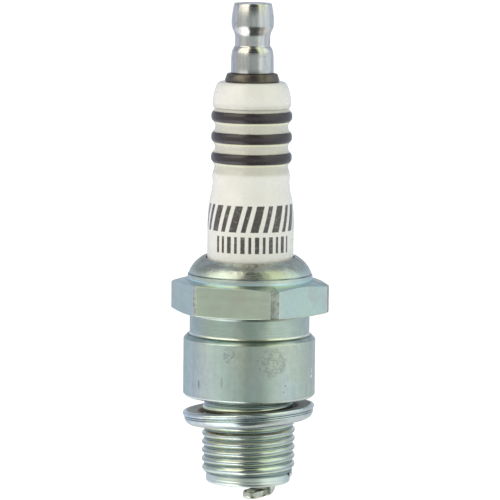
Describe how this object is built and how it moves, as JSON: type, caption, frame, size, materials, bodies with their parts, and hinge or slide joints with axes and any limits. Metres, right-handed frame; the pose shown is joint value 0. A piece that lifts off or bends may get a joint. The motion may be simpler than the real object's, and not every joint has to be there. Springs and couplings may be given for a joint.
{
  "type": "spark plug",
  "caption": "Short-reach threaded ignition plug with a hexagon shell, ribbed ceramic insulator, lift-off terminal nut, loose folded gasket and side electrode.",
  "frame": {"origin": "on the thread axis, in the plane of the shell's gasket seat face", "axes": "+Z along the plug's axis toward the terminal; two flats of the hexagon face +Y and -Y"},
  "size_m": [0.023, 0.0208, 0.0724],
  "materials": {
    "turned_steel": "bright turned steel, lightly tarnished",
    "dark_steel": "dark oxidised steel flange",
    "glazed_ceramic": null,
    "seal_glass": "opaque copper-filled seal glass",
    "resistor_carbon": "matt carbon and glass compound",
    "nickel_alloy": "satin nickel alloy",
    "copper": "drawn copper",
    "weld_metal": "heat-tinted weld",
    "precious_wire": "bright fine wire",
    "zinc_plate": "satin zinc plate with a blue-green to yellow passivation tint",
    "packing_steel": "plain steel",
    "talc": "pressed talc powder",
    "plated_gasket": "zinc-plated folded steel with yellow and pink tints"
  },
  "bodies": {
    "plug": {"terminal_stud": "dark_steel", "insulator": "glazed_ceramic", "upper_glass_seal": "seal_glass", "resistor": "resistor_carbon", "lower_glass_seal": "seal_glass", "centre_electrode": "nickel_alloy", "copper_core": "copper", "tip_weld": "weld_metal", "electrode_tip": "precious_wire", "shell": "zinc_plate", "upper_packing_ring": "packing_steel", "talc_filling": "talc", "lower_packing_ring": "packing_steel", "insulator_seat_washer": "packing_steel", "ground_electrode": "nickel_alloy", "ground_weld": "weld_metal"},
    "nut": {"terminal_nut": "turned_steel"},
    "ring": {"gasket": "plated_gasket"}
  },
  "joints": [
    {"name": "nut_lift", "type": "slide", "parent": "plug", "child": "nut", "axis": [0, 0, 1], "range_m": [0, 0.0105]},
    {"name": "gasket_lift", "type": "slide", "parent": "plug", "child": "ring", "axis": [0, 0, 1], "range_m": [0, 0.0008]}
  ]
}
